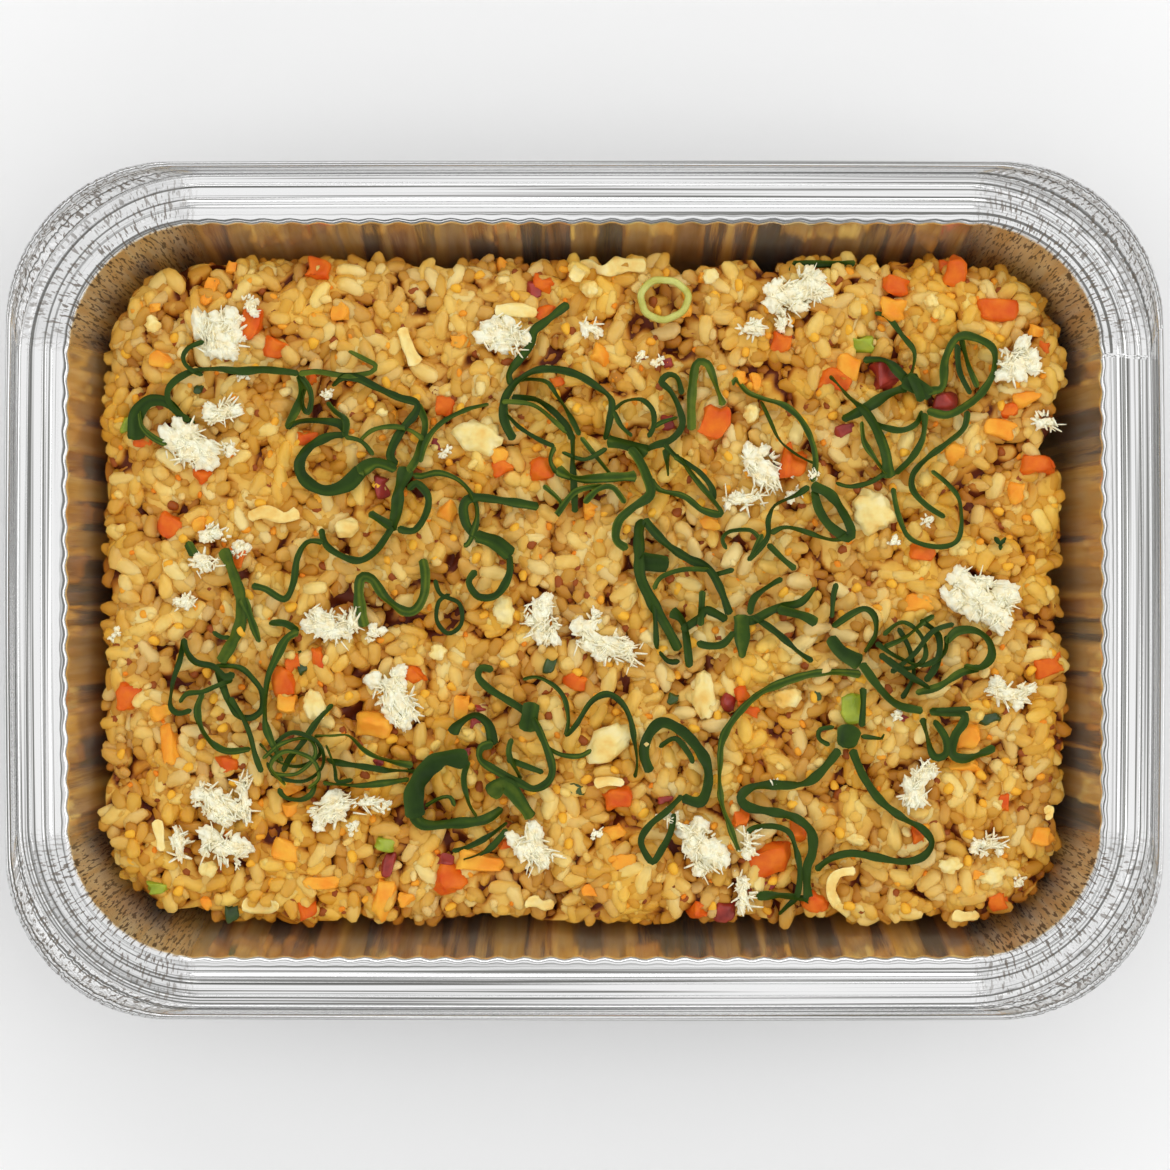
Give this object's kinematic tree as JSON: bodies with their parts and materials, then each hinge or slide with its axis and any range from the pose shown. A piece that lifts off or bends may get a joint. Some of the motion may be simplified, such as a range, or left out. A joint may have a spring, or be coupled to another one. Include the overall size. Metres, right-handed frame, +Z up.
{
  "type": "foil tray of fried rice",
  "caption": "Oblong foil tray with a turned-up, rolled lip, full of fried rice with shredded spring onion, carrot, egg and white meat.",
  "frame": {"origin": "on the table, under the middle of the tray's flat base", "axes": "+X along the tray's length, +Y across it, +Z up out of the tray"},
  "size_m": [0.308, 0.228, 0.05],
  "materials": {
    "foil": "bright pressed foil, ribbed and crinkled",
    "cooked_rice": "moist, golden brown, slightly glossy",
    "onion_leaf": "dark green, waxy",
    "white_meat": "pale, stringy, matte",
    "egg": "pale yellow, soft, satin",
    "leek": "pale green, moist"
  },
  "bodies": {
    "root": {"curl_left": "onion_leaf", "curl_lower_left": "onion_leaf", "curl_lower_middle": "onion_leaf", "curl_lower_right": "onion_leaf", "curl_middle": "onion_leaf", "curl_right": "onion_leaf", "curl_right_of_middle": "onion_leaf", "curl_squiggle": "onion_leaf", "curl_upper_left": "onion_leaf", "curl_upper_middle": "onion_leaf", "curl_upper_right": "onion_leaf", "egg_lump_1": "egg", "egg_lump_2": "egg", "egg_lump_3": "egg", "egg_strip_1": "egg", "egg_strip_2": "egg", "egg_strip_3": "egg", "flake_01": "white_meat", "flake_02": "white_meat", "flake_03": "white_meat", "flake_04": "white_meat", "flake_05": "white_meat", "flake_06": "white_meat", "flake_07": "white_meat", "flake_08": "white_meat", "flake_09": "white_meat", "flake_10": "white_meat", "flake_11": "white_meat", "flake_12": "white_meat", "flake_13": "white_meat", "flake_14": "white_meat", "flake_15": "white_meat", "flake_16": "white_meat", "flake_17": "white_meat", "flake_18": "white_meat", "flake_19": "white_meat", "flake_20": "white_meat", "flake_21": "white_meat", "flake_22": "white_meat", "flake_23": "white_meat", "flake_24": "white_meat", "flake_25": "white_meat", "flake_26": "white_meat", "leek_slice": "leek", "rice": "cooked_rice", "tray": "foil"}
  },
  "joints": []
}
